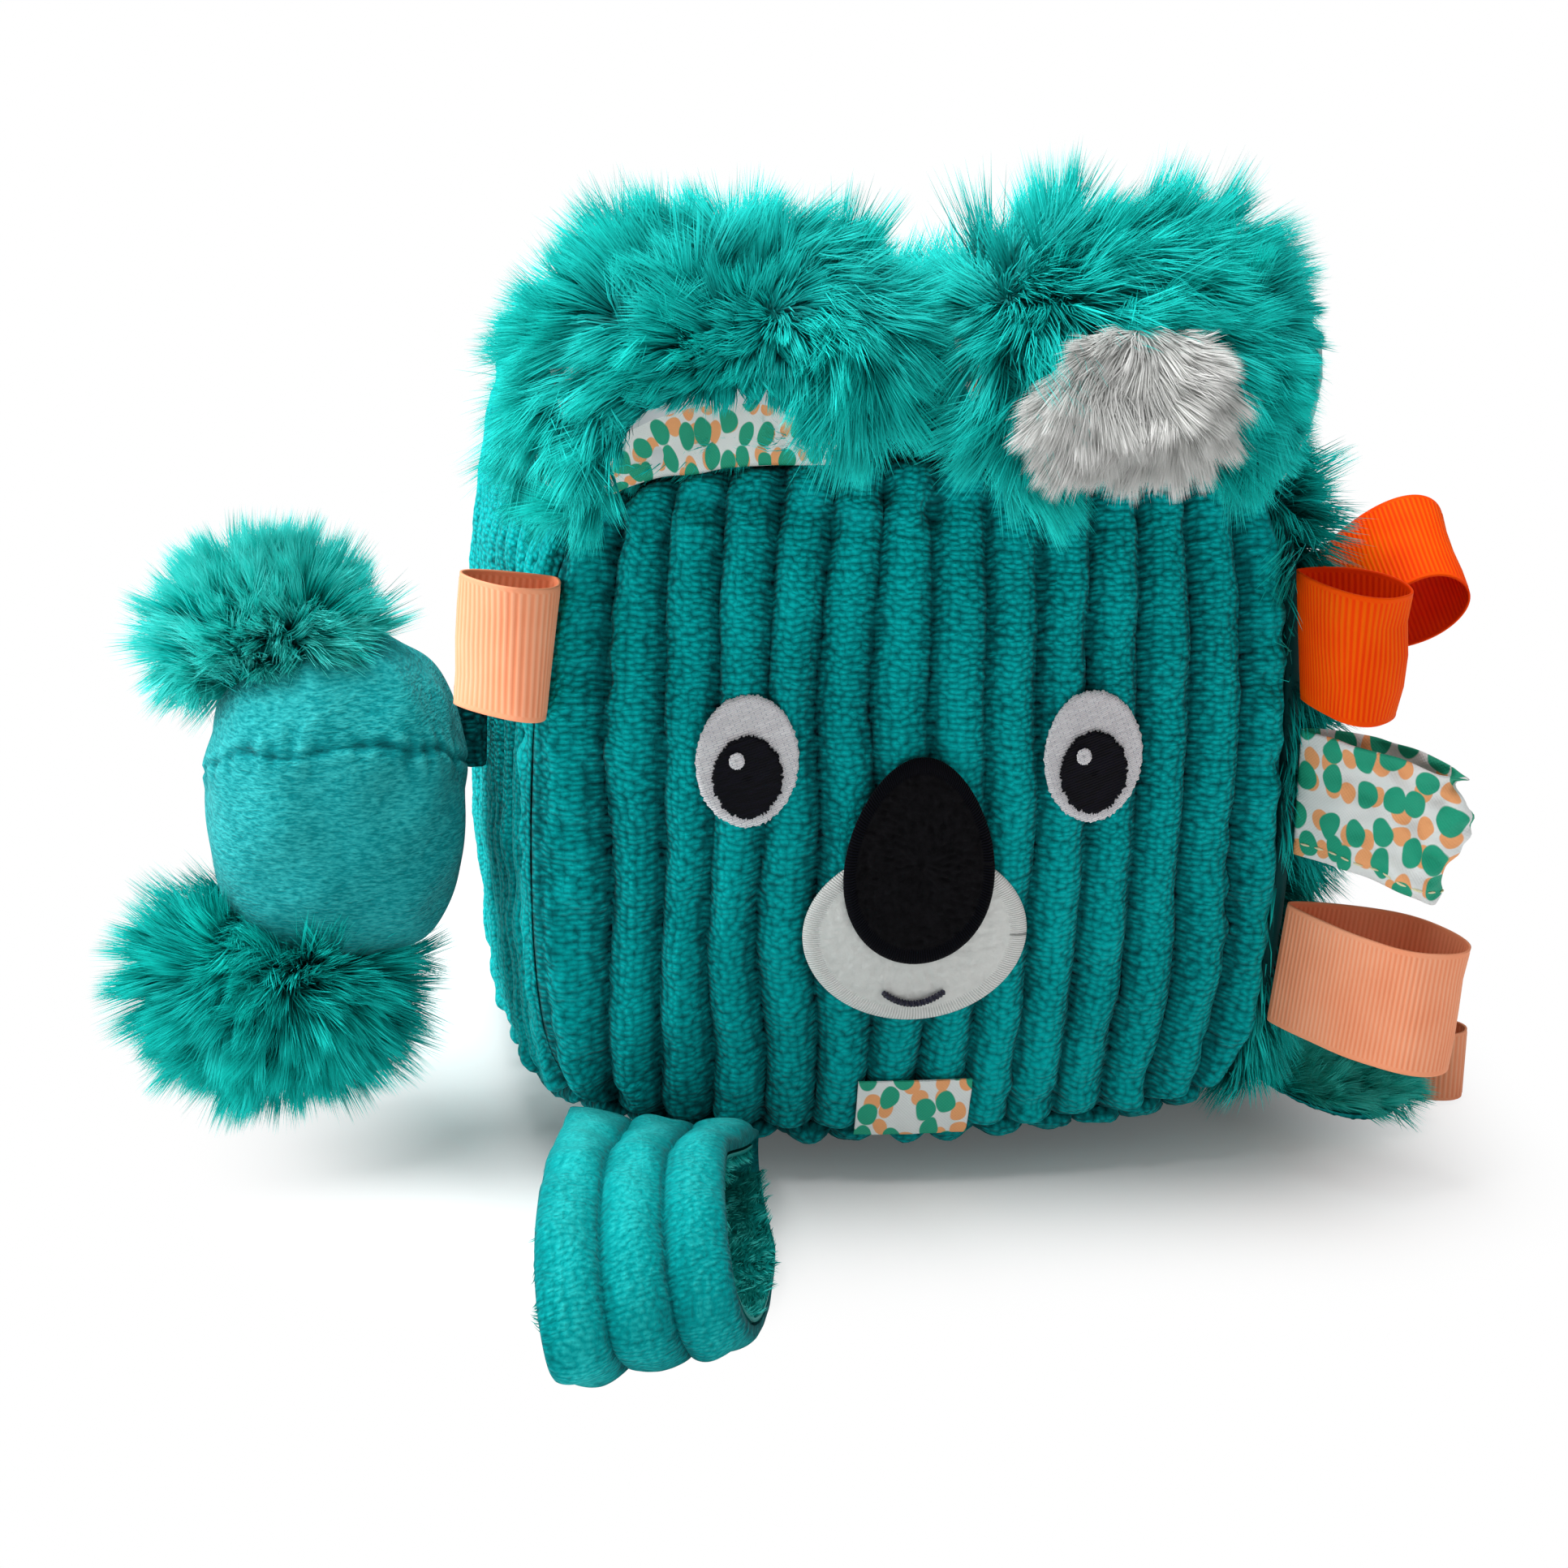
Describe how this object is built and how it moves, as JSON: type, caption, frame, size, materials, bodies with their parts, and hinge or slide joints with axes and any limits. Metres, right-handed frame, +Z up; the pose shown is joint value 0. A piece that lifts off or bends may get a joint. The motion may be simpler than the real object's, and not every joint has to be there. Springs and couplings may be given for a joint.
{
  "type": "soft fabric activity block",
  "caption": "Soft stuffed activity cube for a baby with an animal face, floppy fur ears, hand strap, ribbon loops and a tethered plush head.",
  "frame": {"origin": "on the floor under the middle of the block, at its lowest rib", "axes": "+X to the right seen from the front, +Y away from the viewer, +Z up; the face looks along -Y"},
  "size_m": [0.2815, 0.2667, 0.1984],
  "materials": {
    "ribbed_velour": "wide-rib velour, deep teal, soft sheen on the ribs",
    "plain_velour": "short-pile velour, light teal",
    "strap_velour": "ribbed velour, bright teal",
    "teal_fur": "long soft synthetic fur, teal",
    "white_fur": "long soft synthetic fur, white",
    "peach_ribbon": "grosgrain ribbon, peach",
    "orange_ribbon": "grosgrain ribbon, orange",
    "print_cotton": "printed cotton, white with green and peach spots",
    "black_plush": "short black plush",
    "white_plush": "short white plush and white satin stitch",
    "navy_thread": "satin stitch in near-black thread",
    "foam": "soft open foam",
    "stuffing": "polyester stuffing",
    "crinkle_film": "thin crinkle film",
    "shell_plastic": "smooth moulded plastic",
    "pellet_plastic": "smooth moulded plastic"
  },
  "bodies": {
    "block": {"front_panel": "ribbed_velour", "left_panel": "ribbed_velour", "bottom_panel": "ribbed_velour", "back_panel": "plain_velour", "top_panel": "teal_fur", "right_panel": "teal_fur", "foam_core": "foam", "foam_plug": "foam", "rattle_shell_upper": "shell_plastic", "rattle_shell_lower": "shell_plastic", "rattle_pellet_1": "pellet_plastic", "rattle_pellet_2": "pellet_plastic", "rattle_pellet_3": "pellet_plastic", "muzzle_patch": "white_plush", "nose_patch": "black_plush", "eye_white_left": "white_plush", "eye_white_right": "white_plush", "eye_pupil_left": "navy_thread", "eye_pupil_right": "navy_thread", "mouth_stitch": "navy_thread", "print_tab_bottom": "print_cotton"},
    "ear_left": {"ear_left_fur": "teal_fur", "ear_left_film": "crinkle_film", "ear_left_lining": "print_cotton"},
    "ear_right": {"ear_right_fur": "teal_fur", "ear_right_film": "crinkle_film", "ear_right_lining": "print_cotton", "ear_right_tuft": "white_fur"},
    "tether": {"side_tether": "ribbed_velour"},
    "side_ball": {"side_ball_cover_upper": "plain_velour", "side_ball_cover_lower": "plain_velour", "side_ball_filling": "stuffing", "side_ball_ear_upper": "teal_fur", "side_ball_ear_lower": "teal_fur"},
    "strap": {"strap_outer": "strap_velour", "strap_lining": "strap_velour"},
    "peach_left": {"ribbon_peach_left": "peach_ribbon"},
    "orange_front": {"ribbon_orange_front": "orange_ribbon"},
    "print_right": {"loop_print_right": "print_cotton"},
    "peach_right": {"ribbon_peach_right": "peach_ribbon"},
    "orange_back": {"ribbon_orange_back": "orange_ribbon"},
    "print_back": {"loop_print_back": "print_cotton"},
    "foot_flap": {"foot_flap_fur": "teal_fur", "foot_flap_velour": "plain_velour", "ribbon_peach_small": "peach_ribbon"}
  },
  "joints": [
    {"name": "ear_left_flop", "type": "hinge", "parent": "block", "child": "ear_left", "pos_m": [-0.04075, -0.07141, 0.14441], "axis": [1, 0, 0], "range_deg": [-15, 45], "stiffness_Nm_per_rad": 0.036},
    {"name": "ear_right_flop", "type": "hinge", "parent": "block", "child": "ear_right", "pos_m": [0.03229, -0.07246, 0.14546], "axis": [1, 0, 0], "range_deg": [-15, 45], "stiffness_Nm_per_rad": 0.036},
    {"name": "side_tether_swing", "type": "hinge", "parent": "block", "child": "tether", "pos_m": [-0.08271, -0.027, 0.082], "axis": [0, 0, 1], "range_deg": [-20, 5], "stiffness_Nm_per_rad": 0.01},
    {"name": "side_ball_swing", "type": "hinge", "parent": "tether", "child": "side_ball", "pos_m": [-0.08526, -0.027, 0.082], "axis": [0, 0, 1], "range_deg": [-40, 5], "stiffness_Nm_per_rad": 0.01},
    {"name": "strap_lift", "type": "hinge", "parent": "block", "child": "strap", "pos_m": [-0.046, -0.07218, 0.01182], "axis": [-1, 0, 0], "range_deg": [0, 15]},
    {"name": "peach_left_turn", "type": "hinge", "parent": "block", "child": "peach_left", "pos_m": [-0.07263, -0.07263, 0.1123], "axis": [0, 0, 1], "range_deg": [-25, 4], "stiffness_Nm_per_rad": 0.004},
    {"name": "orange_front_turn", "type": "hinge", "parent": "block", "child": "orange_front", "pos_m": [0.07263, -0.07263, 0.1123], "axis": [0, 0, 1], "range_deg": [-25, 4], "stiffness_Nm_per_rad": 0.004},
    {"name": "print_right_turn", "type": "hinge", "parent": "block", "child": "print_right", "pos_m": [0.07386, -0.07386, 0.0805], "axis": [0, 0, 1], "range_deg": [-25, 4], "stiffness_Nm_per_rad": 0.004},
    {"name": "peach_right_turn", "type": "hinge", "parent": "block", "child": "peach_right", "pos_m": [0.07263, -0.07263, 0.0447], "axis": [0, 0, 1], "range_deg": [-25, 3], "stiffness_Nm_per_rad": 0.004},
    {"name": "orange_back_turn", "type": "hinge", "parent": "block", "child": "orange_back", "pos_m": [0.08532, -0.03747, 0.10502], "axis": [0, 0.9205, 0.3907], "range_deg": [-12, 12], "stiffness_Nm_per_rad": 0.004},
    {"name": "print_back_turn", "type": "hinge", "parent": "block", "child": "print_back", "pos_m": [0.07146, 0.07146, 0.12285], "axis": [0, 0, 1], "range_deg": [-4, 25], "stiffness_Nm_per_rad": 0.004},
    {"name": "foot_flap_lift", "type": "hinge", "parent": "block", "child": "foot_flap", "pos_m": [0.07288, -0.03802, 0.01112], "axis": [0, -1, 0], "range_deg": [0, 18]}
  ]
}
